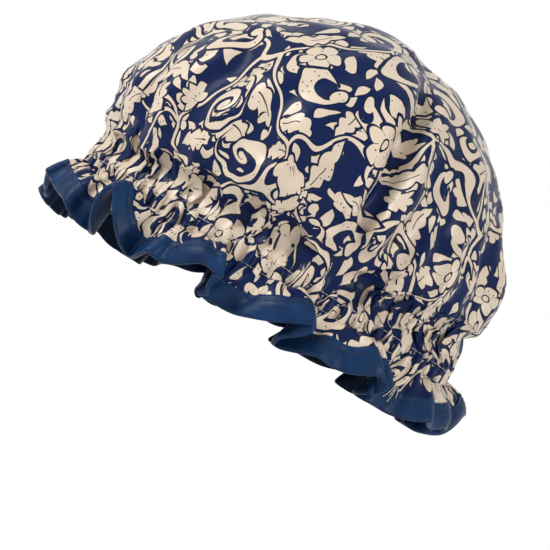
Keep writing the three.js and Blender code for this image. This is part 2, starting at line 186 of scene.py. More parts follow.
def crown_by_length(turn, share):
    """The crown at a share of the cloth's length from gather to top."""
    column = (turn % TAU) / TAU * TURN_STEPS
    row = np.clip(share, 0, 1) * SHARE_STEPS
    left = np.minimum(column.astype(int), TURN_STEPS - 1)
    lower = np.minimum(row.astype(int), SHARE_STEPS - 1)
    across, up = column - left, row - lower
    climb = ((climb_table[left, lower] * (1 - up) + climb_table[left, lower + 1] * up) * (1 - across)
             + (climb_table[left + 1, lower] * (1 - up) + climb_table[left + 1, lower + 1] * up) * across)
    return crown_point(turn, climb)


def outward(turn):
    direction = np.stack([np.sin(turn) / OPENING_WIDTH, -np.cos(turn) / OPENING_LENGTH, 0 * turn], -1)
    return direction / np.linalg.norm(direction, axis=-1, keepdims=True)


def sideways(out):
    return np.stack([-out[..., 1], out[..., 0], out[..., 2]], -1)


def crest_values(turn):
    """Phase between two crests, 0 to 1, with the lean of crest and hollow and the roll there."""
    turns, leans, rolls, hollows, shares = np.array([CRESTS[-1]] + CRESTS + [CRESTS[0]], float).T
    turns = np.radians(turns + np.array([-360] + [0] * len(CRESTS) + [360]))
    turn = turn % TAU
    before = np.clip(np.searchsorted(turns, turn, side="right") - 1, 0, len(turns) - 2)
    phase = (turn - turns[before]) / (turns[before + 1] - turns[before])
    lean = leans[before] + (leans[before + 1] - leans[before]) * phase
    roll = rolls[before] + (rolls[before + 1] - rolls[before]) * phase
    return phase ** (math.log(0.5) / np.log(shares[before])), lean, hollows[before], roll


def smooth_surface(run, turn):
    """The cloth without pleats: crown, channel and frill, run being the flat distance from the middle."""
    crown = crown_by_length(turn, 1 - run / CHANNEL_TOP)
    out = outward(turn)
    x, y = oval(turn, OPENING_WIDTH / 2, OPENING_LENGTH / 2)
    channel = np.stack([x, y, CHANNEL_WIDTH / 2 - (run - CHANNEL_TOP)], -1)
    reach = np.maximum(run - CHANNEL_BOTTOM, 0)
    phase, open_lean, tucked_lean, roll = crest_values(turn)
    swing = (1 + np.cos(TAU * phase)) / 2
    ripple = RIPPLE_LEAN * np.sin(FRILL_RIPPLES * turn + 2 * np.sin(5 * turn + 1) + 1.5 * np.sin(9 * turn))
    lean = np.radians(tucked_lean + (open_lean - tucked_lean) * swing + ripple)
    steps = (np.arange(FRILL_SAMPLES) + 0.5) / FRILL_SAMPLES
    angle = lean[..., None] * (1 - FRILL_DROOP * (reach[..., None] * steps / FRILL_LENGTH) ** DROOP_POWER)
    away = reach * np.sin(angle).mean(-1)
    down = reach * np.cos(angle).mean(-1)
    side = roll * np.cos(TAU * phase) * (reach / FRILL_LENGTH) ** ROLL_POWER
    hanging = np.stack([x, y, -CHANNEL_WIDTH / 2 - down], -1)
    frill = hanging + out * away[..., None] + sideways(out) * side[..., None]
    return np.where((run < CHANNEL_TOP)[..., None], crown,
                    np.where((run < CHANNEL_BOTTOM)[..., None], channel, frill))


def surface_normal(run, turn):
    step = 0.4
    radius = np.maximum(run, 20) / 2
    down = smooth_surface(run + step, turn) - smooth_surface(np.maximum(run - step, 0), turn)
    round_ = smooth_surface(run, turn + step / radius) - smooth_surface(run, turn - step / radius)
    normal = np.cross(down, round_)
    return normal / np.maximum(np.linalg.norm(normal, axis=-1, keepdims=True), 1e-9)


def turn_gap(turn, other):
    return (turn - other + np.pi) % TAU - np.pi


def from_channel(run):
    return np.maximum(np.maximum(CHANNEL_TOP - run, run - CHANNEL_BOTTOM), 0)


def pleats(run, turn):
    """Pleats at the elastic: the turn with their steep sides drawn together, their wave, and their depth."""
    wave = (PLEATS * turn + 1.5 * np.sin(5 * turn + 1) + 1.1 * np.sin(11 * turn + 2)
            + 0.8 * np.sin(17 * turn + 0.5))
    fade = np.exp(-(from_channel(run) / PLEAT_FADE) ** 2)
    turned = turn + fade * PLEAT_SQUARE * 2 * np.pi / PLEATS * np.sin(2 * wave)
    depth = fade * PLEAT_DEPTH / 2 * (0.8 + 0.2 * np.sin(23 * turn + 0.7))
    return turned, np.cos(wave), depth


def hoop_radius(run, turn):
    hoop = np.hypot(*oval(turn, OPENING_WIDTH / 2 + BULGE_OUT_SIDES, OPENING_LENGTH / 2 + BULGE_OUT_ENDS))
    return hoop * np.sin(np.clip(run / CHANNEL_TOP, 0, 1) * np.pi / 2)


def crease_depth(run, turn, creases=CREASES):
    """How far the creases that open from the gather sink into the crown."""
    crown_run = CHANNEL_TOP - run
    hoop = hoop_radius(run, turn)
    depth = 0 * run
    for start, end, length, deep, wide in creases:
        share = crown_run / length
        line = np.radians(start + (end - start) * np.clip(share, 0, 1))
        across = turn_gap(turn, line) * hoop
        hold = ramp(crown_run, *CREASE_RISE) * (1 - ramp(share, *CREASE_FADE))
        depth = depth + deep * hold * np.exp(1 - np.sqrt(1 + (across / wide) ** 2))
    return depth


def deep_crease(run, turn):
    """Distance across the deep crease and how much of its depth it has there."""
    runs = [point[0] for point in reversed(DEEP_CREASE)]
    turns = np.radians([point[1] for point in reversed(DEEP_CREASE)])
    across = turn_gap(turn, np.interp(run, runs, turns)) * hoop_radius(run, turn)
    return across, ramp(CHANNEL_TOP - run, *DEEP_RISE) * ramp(run, *DEEP_TOP_FADE)


def gathered_surface(run, turn):
    """The start shape for the cloth: pleats at the elastic that open into longer creases of the crown."""
    turned, wave, pleat_depth = pleats(run, turn)
    place = smooth_surface(run, turned)
    normal = surface_normal(run, turned)
    out = outward(turned)
    in_channel = ramp(-from_channel(run), *PLEAT_TURN_OUT)[..., None]
    pleat_way = normal * (1 - in_channel) + out * in_channel
    place = place + pleat_way * (pleat_depth * (1 + wave))[..., None]
    across, hold = deep_crease(run, turn)
    lip = hold * np.exp(-((across + LIP_ASIDE) / LIP_WIDTH) ** 2)
    deep = DEEP_DEPTH * hold * np.exp(-((across - DEEP_SHIFT) / DEEP_WIDTH) ** 2)
    depth = crease_depth(run, turn) + deep - DEEP_LIP * lip
    return place - normal * depth[..., None] + sideways(out) * (DEEP_OVERLAP * lip)[..., None]


def made_mesh(bm, name):
    mesh = bpy.data.meshes.new(name)
    bm.to_mesh(mesh)
    bm.free()
    return mesh


def joined_grid(columns, rows, place):
    """A grid of cloth rolled up so that its two ends meet: place gives a corner from its column and row."""
    bm = bmesh.new()
    grid = bmesh.ops.create_grid(bm, x_segments=columns, y_segments=rows, size=1.0)
    for vert in grid["verts"]:
        vert.co = place(round((vert.co.x + 1) / 2 * columns), round((vert.co.y + 1) / 2 * rows))
    bmesh.ops.remove_doubles(bm, verts=bm.verts, dist=1e-4)
    return made_mesh(bm, "grid")


def flat_cloth():
    """The cut circle, flat: rings of cloth in zones, bridged, with the middle poked shut."""
    rim_runs = np.concatenate([np.linspace(RIM_START, CHANNEL_TOP, 16)[:-1],
                               np.linspace(CHANNEL_TOP, CHANNEL_BOTTOM, 4)[:-1],
                               np.linspace(CHANNEL_BOTTOM, BINDING_TOP, 6)[:-1],
                               np.linspace(BINDING_TOP, CUT_EDGE, 5)])
    zones = [(rim_runs, RIM_STEPS)]
    zones += [(np.linspace(first, last, rings), RIM_STEPS // fewer)
              for first, last, rings, fewer in CROWN_ZONES]
    bm = bmesh.new()
    for runs, steps in zones:
        bm.from_mesh(joined_grid(steps, len(runs) - 1, lambda column, row: (
            runs[row] * math.sin(TAU * column / steps),
            -runs[row] * math.cos(TAU * column / steps), 0)))

    def loop_at(radius):
        return [edge for edge in bm.edges
                if edge.is_boundary and all(abs(vert.co.length - radius) < RING_MATCH for vert in edge.verts)]

    for outer, inner in zip(zones, zones[1:]):
        bmesh.ops.bridge_loops(bm, edges=loop_at(outer[0][0]) + loop_at(inner[0][-1]))
    middle = bmesh.ops.holes_fill(bm, edges=loop_at(zones[-1][0][0]), sides=0)
    bmesh.ops.poke(bm, faces=middle["faces"])
    bmesh.ops.recalc_face_normals(bm, faces=bm.faces)
    mesh = made_mesh(bm, "cloth")
    if mesh.polygons[0].normal.z < 0:
        mesh.flip_normals()
    return mesh, rim_runs


def coordinates(mesh):
    values = np.zeros(len(mesh.vertices) * 3)
    mesh.vertices.foreach_get("co", values)
    return values.reshape(-1, 3)


def normals_of(mesh):
    values = np.zeros(len(mesh.vertices) * 3)
    mesh.vertex_normals.foreach_get("vector", values)
    return values.reshape(-1, 3)


cloth_mesh, rim_runs = flat_cloth()
flat = coordinates(cloth_mesh)
cloth_uv = cloth_mesh.uv_layers.new(name="cut")
corner_vertex = np.zeros(len(cloth_mesh.loops), int)
cloth_mesh.loops.foreach_get("vertex_index", corner_vertex)
cloth_uv.data.foreach_set("uv", (flat[corner_vertex, :2] * MM).ravel())
cloth_run = np.hypot(flat[:, 0], flat[:, 1])
cloth_turn = np.arctan2(flat[:, 0], -flat[:, 1]) % TAU
start_shape = gathered_surface(cloth_run, cloth_turn)

# Settling of the cloth, at ten times its size, with the elastic held
SIM_SCALE = 0.01
SIM_FRAMES = 24
CROWN_EASE_TOP = 0.35
CROWN_EASE_RING = 0.5
LENGTH_EASE = 1.03
FRILL_EASE = 1.08
HOOP_COUNT = 400
HOOP_SMOOTHING = 5


def uncut_shape():
    """The cloth's own lengths as a turned shape, its hoops longer than the dome's so that it buckles."""
    runs = np.linspace(0, CUT_EDGE, HOOP_COUNT)
    turns = np.linspace(0, TAU, RIM_STEPS * 2 + 1)

    def hoops(surface):
        rings = [surface(np.full_like(turns, run), turns) for run in runs]
        return np.array([np.linalg.norm(np.diff(ring, axis=0), axis=1).sum() for ring in rings]) / TAU

    smooth = hoops(smooth_surface)
    start = hoops(gathered_surface)
    ease = CROWN_EASE_TOP + (CROWN_EASE_RING - CROWN_EASE_TOP) * np.clip(runs / GATHER_RING, 0, 1) ** 3
    crown = np.maximum(smooth + (runs - smooth) * ease, np.minimum(start, runs))
    hoop = np.where(runs < CHANNEL_TOP, crown, start * FRILL_EASE)
    window = 2 * HOOP_SMOOTHING + 1
    hoop = np.convolve(np.pad(hoop, HOOP_SMOOTHING, mode="edge"), np.ones(window) / window, mode="valid")
    slope = np.clip(np.abs(np.gradient(hoop, runs)), 0, 1)
    drop = np.sqrt(1 - slope ** 2) * LENGTH_EASE
    fall = -np.concatenate([[0], np.cumsum((drop[1:] + drop[:-1]) / 2 * np.diff(runs))])
    radius = np.interp(cloth_run, runs, hoop)
    return np.stack([radius * np.sin(cloth_turn), -radius * np.cos(cloth_turn),
                     np.interp(cloth_run, runs, fall)], 1)


def settle(mesh, shape):
    """Cloth simulation from the start shape: the crown fills out and the folds relax, in millimetres."""
    piece = bpy.data.objects.new("settling", mesh.copy())
    scene.collection.objects.link(piece)
    piece.data.vertices.foreach_set("co", (shape * SIM_SCALE).ravel())
    piece.shape_key_add(name="gathered")
    uncut = piece.shape_key_add(name="uncut")
    uncut.data.foreach_set("co", (uncut_shape() * SIM_SCALE).ravel())
    groups = {"held": np.abs(cloth_run - GATHER_RING) <= CHANNEL_WIDTH / 2 + 0.5,
              "puffed": cloth_run < CHANNEL_TOP, "bound": cloth_run > BINDING_TOP - 0.1}
    for name, members in groups.items():
        piece.vertex_groups.new(name=name).add([int(i) for i in np.nonzero(members)[0]], 1.0, "REPLACE")
    cloth = piece.modifiers.new("Cloth", "CLOTH")
    feel = {"quality": 6, "mass": 0.2, "air_damping": 2.0, "tension_stiffness": 25,
            "compression_stiffness": 25, "shear_stiffness": 8, "tension_damping": 5,
            "compression_damping": 5, "shear_damping": 5,
            "bending_model": "ANGULAR", "bending_stiffness": 0.2, "bending_stiffness_max": 1.0,
            "bending_damping": 0.5, "vertex_group_mass": "held", "vertex_group_bending": "bound",
            "vertex_group_pressure": "puffed", "rest_shape_key": uncut, "use_pressure": True,
            "uniform_pressure_force": 0.5}
    for name, value in feel.items():
        setattr(cloth.settings, name, value)
    cloth.settings.effector_weights.gravity = 0.1
    cloth.collision_settings.use_collision = False
    cloth.point_cache.frame_end = SIM_FRAMES + 1
    for number in range(1, SIM_FRAMES + 1):
        scene.frame_set(number)
    settled = piece.evaluated_get(bpy.context.evaluated_depsgraph_get()).to_mesh()
    result = coordinates(settled) / SIM_SCALE
    bpy.data.objects.remove(piece)
    scene.frame_set(1)
    return result


def shape_cloth(shape):
    cloth_mesh.vertices.foreach_set("co", ((shape + RIM_CENTRE) * MM).ravel())
    cloth_mesh.update()
    return normals_of(cloth_mesh)


# What the puffing took out of the creases is put back after it, with a rumple and the short folds, and the
# frill is kept above the floor
SETTLED_CREASE = 1.1
SETTLED_DEEP = 5.0
SETTLED_WIDTH = 3
RUMPLE = 1.5
RUMPLE_LENGTH = 8.5
RUMPLE_RISE = (8, 45)
FLOOR_GAP = 1.5
cloth_shape = start_shape
middle_normal = shape_cloth(cloth_shape)
cloth_shape = settle(cloth_mesh, start_shape)
across, hold = deep_crease(cloth_run, cloth_turn)
sunk = (SETTLED_CREASE * crease_depth(cloth_run, cloth_turn)
        + SETTLED_DEEP * hold * np.exp(-np.abs(across - DEEP_SHIFT) / SETTLED_WIDTH))
across_cut, along_cut = flat[:, 0] / RUMPLE_LENGTH, flat[:, 1] / RUMPLE_LENGTH
rumple = (np.sin(across_cut + 1.6 * np.sin(0.55 * along_cut + 1))
          * np.sin(along_cut + 1.4 * np.sin(0.6 * across_cut)))
sunk = sunk + RUMPLE * rumple * ramp(CHANNEL_TOP - cloth_run, *RUMPLE_RISE)
sunk = sunk + crease_depth(cloth_run, cloth_turn, SHORT_CREASES)
cloth_shape = cloth_shape - shape_cloth(cloth_shape) * sunk[:, None]
cloth_shape[:, 2] = np.maximum(cloth_shape[:, 2], FLOOR_GAP - RIM_CENTRE[2])
middle_normal = shape_cloth(cloth_shape)
middle_place = coordinates(cloth_mesh)


def srgb(code):
    channels = [int(code[i:i + 2], 16) / 255 for i in (1, 3, 5)]
    return tuple(c / 12.92 if c <= 0.04045 else ((c + 0.055) / 1.055) ** 2.4 for c in channels) + (1.0,)


def add(tree, kind, *inputs, out=0, **settings):
    """Adds a node: sockets are linked and values set, in order or by the names in one dictionary."""
    made = tree.nodes.new("ShaderNode" + kind)
    for name, value in settings.items():
        setattr(made, name, value)
    given = inputs[0].items() if inputs and isinstance(inputs[0], dict) else enumerate(inputs)
    for key, value in given:
        if isinstance(value, bpy.types.NodeSocket):
            tree.links.new(value, made.inputs[key])
        else:
            made.inputs[key].default_value = value
    return made.outputs[out]


def new_material(name, roughness, ior, gloss=0.5):
    material = bpy.data.materials.new(name)
    material.use_nodes = True
    shader = material.node_tree.nodes["Principled BSDF"]
    shader.inputs["Roughness"].default_value = roughness
    shader.inputs["IOR"].default_value = ior
    shader.inputs["Specular IOR Level"].default_value = gloss
    return material, material.node_tree, shader


def paint(tree, shader, value, stops):
    """Base colour from a ramp of places and colours."""
    colour = add(tree, "ValToRGB", value)
    band = colour.node.color_ramp
    band.elements[0].position, band.elements[0].color = stops[0][0], srgb(stops[0][1])
    band.elements[1].position, band.elements[1].color = stops[-1][0], srgb(stops[-1][1])
    for place, code in stops[1:-1]:
        band.elements.new(place).color = srgb(code)
    tree.links.new(colour, shader.inputs["Base Color"])


def object_place(tree):
    """Place on the object, in millimetres."""
    return add(tree, "VectorMath", add(tree, "TexCoord", out="Object"), (1 / MM,) * 3, operation="MULTIPLY")


def add_bump(tree, shader, height, strength, depth):
    bump = add(tree, "Bump", {"Strength": strength, "Distance": depth * MM, "Height": height})
    tree.links.new(bump, shader.inputs["Normal"])


# Printed polyester satin: scrolls, leaves and flowers in cream on navy, each with a thin dark outline.
# Sizes of the print in millimetres on the flat cloth
SCROLL_CELL = 54.0
MOTIF_CELL = 31.0
FILLER_CELL = 25.0
STEM_CELL = 62.0
DROP_CELL = 12.5
DOT_CELL = 3.6
JITTER = 0.7
SCROLL_SHARE = 0.66
SCROLL_GROWTH = math.log(3.3)
LEAF_HALF, LEAF_WIDTH, LEAF_BOW = 11.5, 5.4, 3.4
FLOWER_HEART, FLOWER_PETAL = 5.0, 3.4
FAN_SECTOR, FAN_LENGTH = 0.6, 10.0
CURL_RADIUS, CURL_WIDTH, CURL_SWEEP = 6.6, 2.7, 2.5
CURL_END = (-5.3, 4.6, 0)
STEM_WIDTH = 1.4
DRIFT_LENGTH, HAND_LENGTH, PATCH_LENGTH = 34, 10, 18
PRINT_HALO = 1.8
CREAM_GLOSS, NAVY_GLOSS = 0.4, 0.1
CREAM, OUTLINE, NAVY = "#e6d4be", "#0b1022", "#11224e"


def print_distance(tree, cloth):
    """Distance in millimetres to the nearest cream shape, less than nothing inside one."""
    def calc(operation, *inputs):
        return add(tree, "Math", *inputs, operation=operation)

    def scattered(place, cell):
        """One motif in each cell, placed and turned: x, y, radius, angle, a chance value, the cell's gap."""
        scatter = {"Vector": place, "Scale": 1 / cell, "Randomness": JITTER}
        spots = add(tree, "TexVoronoi", scatter, voronoi_dimensions="2D").node
        edge = add(tree, "TexVoronoi", scatter, voronoi_dimensions="2D", feature="DISTANCE_TO_EDGE")
        own = add(tree, "VectorMath", place, spots.outputs["Position"], operation="SUBTRACT")
        chance = add(tree, "SeparateXYZ", spots.outputs["Color"]).node
        angle = calc("MULTIPLY", chance.outputs[0], TAU)
        turned = add(tree, "VectorRotate", {"Vector": own, "Angle": angle}, rotation_type="Z_AXIS")
        sides = add(tree, "SeparateXYZ", turned).node
        mirror = calc("SIGN", calc("SUBTRACT", chance.outputs[1], 0.5))
        x, y = sides.outputs[0], calc("MULTIPLY", sides.outputs[1], mirror)
        radius = add(tree, "VectorMath", own, operation="LENGTH", out="Value")
        gap = calc("MULTIPLY_ADD", edge, -cell, 0.7)
        return x, y, radius, calc("ARCTAN2", y, x), chance.outputs[2], gap

    def scrolls(place):
        """Spirals with a round heart that run out into a tapered tail."""
        _, _, radius, angle, chance, _ = scattered(place, SCROLL_CELL)
        size = calc("MULTIPLY_ADD", chance, 6.5, 8.5)
        grown = calc("LOGARITHM", calc("DIVIDE", calc("MAXIMUM", radius, 0.05), size), math.e)
        turns = calc("DIVIDE", grown, SCROLL_GROWTH)
        coil = calc("SUBTRACT", turns, calc("DIVIDE", angle, TAU))
        across = calc("SUBTRACT", coil, calc("ROUND", coil))
        arm = calc("SUBTRACT", turns, across)
        width = calc("MINIMUM", calc("MULTIPLY_ADD", arm, -0.36, 0.15), 0.26)
        band = calc("MULTIPLY", calc("SUBTRACT", calc("ABSOLUTE", across), width),
                    calc("MULTIPLY", radius, SCROLL_GROWTH))
        scroll = calc("MINIMUM", band, calc("SUBTRACT", radius, 2.2))
        return calc("MAXIMUM", scroll, calc("MULTIPLY", calc("SUBTRACT", chance, SCROLL_SHARE), 1000))

    def motifs(place, cell, grown):
        """A leaf, flower, fan of petals or curl in each cell."""
        x, y, radius, angle, chance, gap = scattered(place, cell)
        x, y, radius = (calc("DIVIDE", value, grown) for value in (x, y, radius))
        share = calc("DIVIDE", x, LEAF_HALF)
        taper = calc("SUBTRACT", 1.0, calc("MULTIPLY", share, share))
        bowed = calc("SUBTRACT", calc("ADD", y, 1.6), calc("MULTIPLY", taper, LEAF_BOW))
        lobes = calc("ABSOLUTE", calc("SINE", calc("MULTIPLY_ADD", x, 0.5, 0.4)))
        lobes = calc("MULTIPLY_ADD", lobes, 0.45, 0.6)
        leaf = calc("SUBTRACT", calc("ABSOLUTE", bowed),
                    calc("MULTIPLY", calc("MULTIPLY", taper, LEAF_WIDTH), lobes))
        rib = calc("MINIMUM", calc("SUBTRACT", 0.3, calc("ABSOLUTE", bowed)),
                   calc("SUBTRACT", 4.5, calc("ABSOLUTE", calc("ADD", x, 3.0))))
        leaf = calc("MAXIMUM", leaf, rib)
        petals = calc("ABSOLUTE", calc("COSINE", calc("MULTIPLY", angle, 2.5)))
        reach = calc("MULTIPLY_ADD", calc("POWER", petals, 0.6), FLOWER_PETAL, FLOWER_HEART)
        flower = calc("SUBTRACT", radius, reach)
        eye = calc("SUBTRACT", 0.4, calc("ABSOLUTE", calc("SUBTRACT", radius, 2.0)))
        vein = calc("MINIMUM", calc("SUBTRACT", 0.26, calc("MULTIPLY", radius, petals)),
                    calc("SUBTRACT", radius, 3.4))
        flower = calc("MAXIMUM", flower, calc("MAXIMUM", eye, vein))
        sector = calc("DIVIDE", angle, FAN_SECTOR)
        petal = calc("ROUND", sector)
        along = calc("DIVIDE", calc("SUBTRACT", radius, 1.6),
                     calc("MULTIPLY_ADD", calc("ABSOLUTE", petal), -1.0, FAN_LENGTH))
        swell = calc("MULTIPLY", calc("SUBTRACT", along, calc("MULTIPLY", along, along)),
                     calc("MULTIPLY_ADD", along, 6.0, 5.0))
        aside = calc("MULTIPLY", calc("ABSOLUTE", calc("SUBTRACT", sector, petal)),
                     calc("MULTIPLY", radius, FAN_SECTOR))
        fan = calc("MAXIMUM", calc("SUBTRACT", aside, swell),
                   calc("MULTIPLY", calc("SUBTRACT", calc("ABSOLUTE", sector), 2.5), 3.0))
        fan = calc("MINIMUM", fan, calc("SUBTRACT", radius, 2.2))
        sweep = calc("DIVIDE", angle, CURL_SWEEP)
        arc = calc("SUBTRACT", calc("SUBTRACT", radius, CURL_RADIUS), calc("MULTIPLY", angle, 0.8))
        tapered = calc("MULTIPLY_ADD", calc("MULTIPLY", sweep, sweep), -CURL_WIDTH, CURL_WIDTH)
        curl = calc("SUBTRACT", calc("ABSOLUTE", arc), tapered)
        spot = add(tree, "CombineXYZ", x, y)
        knob = add(tree, "VectorMath", spot, CURL_END, operation="DISTANCE", out="Value")
        curl = calc("MINIMUM", curl, calc("SUBTRACT", knob, 3.0))
        shape = leaf
        for level, other in ((0.36, flower), (0.5, fan), (0.76, curl)):
            shape = add(tree, "Mix", {0: calc("GREATER_THAN", chance, level), 2: shape, 3: other})
        return calc("MAXIMUM", calc("MULTIPLY", shape, grown), gap)

    def over(upper, lower):
        return calc("MINIMUM", upper, calc("MAXIMUM", lower, calc("SUBTRACT", PRINT_HALO, upper)))

    def wander(length, detail):
        noise = add(tree, "TexNoise", {"Vector": cloth, "Scale": 1 / length, "Detail": detail},
                    noise_dimensions="2D", out="Color")
        return add(tree, "VectorMath", noise, (0.5, 0.5, 0.5), operation="SUBTRACT")

    drift = wander(DRIFT_LENGTH, 1.0)
    hand = wander(HAND_LENGTH, 0.0)
    place = add(tree, "VectorMath", drift, (17, 17, 0), cloth, operation="MULTIPLY_ADD")
    place = add(tree, "VectorMath", hand, (2.4, 2.4, 0), place, operation="MULTIPLY_ADD")
    aside = add(tree, "VectorMath", place, (113, 57, 0), operation="ADD")
    x, y, *_ = scattered(aside, DROP_CELL)
    share = calc("DIVIDE", calc("SUBTRACT", x, 0.6), 5.4)
    square = calc("MULTIPLY", share, share)
    body = calc("MULTIPLY", calc("SUBTRACT", 1.0, square), calc("MULTIPLY_ADD", share, 1.2, 2.7))
    drops = calc("SUBTRACT", calc("ABSOLUTE", calc("SUBTRACT", y, calc("MULTIPLY", square, 1.5))), body)
    winding = add(tree, "VectorMath", drift, (40, 40, 0), cloth, operation="MULTIPLY_ADD")
    stems = add(tree, "TexVoronoi", {"Vector": winding, "Scale": 1 / STEM_CELL}, voronoi_dimensions="2D",
                feature="DISTANCE_TO_EDGE")
    stems = calc("MULTIPLY_ADD", stems, STEM_CELL, -STEM_WIDTH)
    shapes = drops
    for upper in (motifs(aside, FILLER_CELL, 1.0), stems, motifs(place, MOTIF_CELL, 1.24), scrolls(place)):
        shapes = over(upper, shapes)
    spots = add(tree, "TexVoronoi", {"Vector": cloth, "Scale": 1 / DOT_CELL, "Randomness": 0.6},
                voronoi_dimensions="2D")
    patches = add(tree, "TexNoise", {"Vector": cloth, "Scale": 1 / PATCH_LENGTH, "Detail": 0.0},
                  noise_dimensions="2D")
    dots = calc("MINIMUM", calc("MULTIPLY_ADD", spots, -DOT_CELL, 0.42), calc("SUBTRACT", -1.1, shapes))
    dots = calc("MINIMUM", dots, calc("MULTIPLY", calc("SUBTRACT", patches, 0.62), 20.0))
    return calc("MAXIMUM", shapes, dots)


# Bands that a wave texture draws to the unit of its scale, then sizes of the surfaces in millimetres
WAVE_BANDS = 3.18
CRUMPLE_LENGTH = 9
CRUMPLE_HEIGHT = 16.0
TWIST_SPACING = 0.8
KNIT_SPACING = 1.0


def weave_bump(tree, shader, place, spacing, depth):
    """Fine diagonal weave with a soft crumple under it, as a bump."""
    fine = {"Vector": place, "Scale": 1 / spacing / WAVE_BANDS, "Distortion": 0.6, "Detail": 0.0}
    twill = add(tree, "TexWave", fine, bands_direction="DIAGONAL", out="Fac")
    crumple = add(tree, "TexNoise", {"Vector": place, "Scale": 1 / CRUMPLE_LENGTH, "Detail": 2.0})
    height = add(tree, "Math", crumple, CRUMPLE_HEIGHT, twill, operation="MULTIPLY_ADD")
    add_bump(tree, shader, height, 0.5, depth)


def printed_satin():
    """Printed polyester satin: long floats give a soft, broad shine over the flat print colours."""
    material, tree, shader = new_material("printed_polyester_satin", 0.3, 1.5)
    cut = add(tree, "UVMap", uv_map="cut")
    cloth = add(tree, "VectorMath", cut, (1 / MM, 1 / MM, 0), operation="MULTIPLY")
    shapes = print_distance(tree, cloth)
    stops = [(0.0, CREAM), (0.46, CREAM), (0.54, OUTLINE), (0.70, OUTLINE), (0.80, NAVY), (1.0, NAVY)]
    paint(tree, shader, add(tree, "Math", shapes, 0.5, 0.5, operation="MULTIPLY_ADD"), stops)
    gloss = add(tree, "MapRange", shapes, -0.2, 0.4, CREAM_GLOSS, NAVY_GLOSS)
    tree.links.new(gloss, shader.inputs["Specular IOR Level"])
    weave_bump(tree, shader, cloth, 0.6, 0.04)
    return material


def navy_satin():
    """Dyed polyester satin, cut on the bias: one deep blue, a little lighter or darker at random over the
    cloth.
    """
    material, tree, shader = new_material("navy_polyester_satin", 0.36, 1.5, 0.13)
    place = object_place(tree)
    shade = add(tree, "TexNoise", {"Vector": place, "Scale": 1 / 8, "Detail": 3.0})
    paint(tree, shader, shade, [(0.3, "#0f2a4d"), (0.7, "#173a64")])
    weave_bump(tree, shader, place, 0.7, 0.05)
    return material


def clear_film():
    """Waterproof PEVA film: milky white, smooth, with fine creases, their tops painted paler as a sheen."""
    material, tree, shader = new_material("milky_peva_film", 0.3, 1.48)
    place = object_place(tree)
    creases = add(tree, "TexNoise", {"Vector": place, "Scale": 1 / 5, "Detail": 4.0})
    # Painted sheen: the colour is paler where the crease noise rises, the same noise that gives the bump
    paint(tree, shader, creases, [(0.3, "#d3dbdf"), (0.7, "#e6ecee")])
    add_bump(tree, shader, creases, 0.4, 0.3)
    return material


def spun_thread(name, dark, light):
    """Spun polyester thread: matt, with the light and shade of its twist painted into the colour."""
    material, tree, shader = new_material(name, 0.55, 1.5)
    place = object_place(tree)
    ply = {"Vector": place, "Scale": 1 / TWIST_SPACING / WAVE_BANDS, "Distortion": 1.0}
    twist = add(tree, "TexWave", ply, bands_direction="DIAGONAL", out="Fac")
    # Painted shade: the colour runs from the dark tone in the twist's grooves to the light one on its plies
    paint(tree, shader, twist, [(0.2, dark), (0.8, light)])
    add_bump(tree, shader, twist, 0.5, 0.08)
    return material


def knitted_elastic():
    """Knitted rubber elastic: white ribs with small loops across them, painted greyer in their hollows as
    shade.
    """
    material, tree, shader = new_material("knitted_elastic", 0.6, 1.5)
    place = object_place(tree)
    knit = {"Vector": place, "Scale": 1 / KNIT_SPACING / WAVE_BANDS, "Distortion": 1.5}
    loops = add(tree, "TexWave", knit, bands_direction="DIAGONAL", out="Fac")
    # Painted shade: greyer where the knit's bump sinks, whiter where it rises
    paint(tree, shader, loops, [(0.1, "#cfcdc7"), (0.9, "#f0efec")])
    add_bump(tree, shader, loops, 0.6, 0.1)
    return material


satin_print = printed_satin()
satin_navy = navy_satin()
film = clear_film()
thread_navy = spun_thread("navy_thread", "#0c1830", "#1c3054")
thread_pale = spun_thread("pale_thread", "#c3b6a4", "#ece3d6")
elastic_knit = knitted_elastic()


def add_piece(name, mesh, material):
    piece = bpy.data.objects.new(name, mesh)
    scene.collection.objects.link(piece)
    mesh.materials.clear()
    mesh.materials.append(material)
    mesh.polygons.foreach_set("use_smooth", [True] * len(mesh.polygons))
    return piece


def evaluated(piece):
    return piece.evaluated_get(bpy.context.evaluated_depsgraph_get())


def with_thickness(name, place, thickness, material):
    mesh = cloth_mesh.copy()
    mesh.vertices.foreach_set("co", place.ravel())
    piece = add_piece(name, mesh, material)
    wall = piece.modifiers.new("thickness", "SOLIDIFY")
    wall.thickness = thickness * MM
    wall.offset = 0
    finished = bpy.data.meshes.new_from_object(evaluated(piece))
    piece.modifiers.clear()
    piece.data = finished
    return piece


# The lining follows the shell, looser in the crown, and pleats inwards at the channel, where the elastic lies
# between them
LINING_SLACK = 2.0
LINING_PRESSED = 0.5
BEHIND_ELASTIC = 1.1
ABOVE_CHANNEL = (1, 14)
BELOW_CHANNEL = (0, 3)
PRESSED_RISE = (0, 0.3)
PRESSED_WIDTH = 22
LOOSE_RISE = (0, 12)
turned, wave, pleat_depth = pleats(cloth_run, cloth_turn)
inwards = -outward(turned) * (pleat_depth * (1.6 + 0.4 * wave) + BEHIND_ELASTIC)[:, None] * MM
at_channel = np.where(cloth_run < GATHER_RING, 1 - ramp(CHANNEL_TOP - cloth_run, *ABOVE_CHANNEL),
                      1 - ramp(cloth_run - CHANNEL_BOTTOM, *BELOW_CHANNEL))[:, None]
across, hold = deep_crease(cloth_run, cloth_turn)
pressed = (ramp(hold, *PRESSED_RISE) * np.exp(-(across / PRESSED_WIDTH) ** 4))[:, None]
loose = ramp(CHANNEL_TOP - cloth_run, *LOOSE_RISE)[:, None] * (1 - pressed)
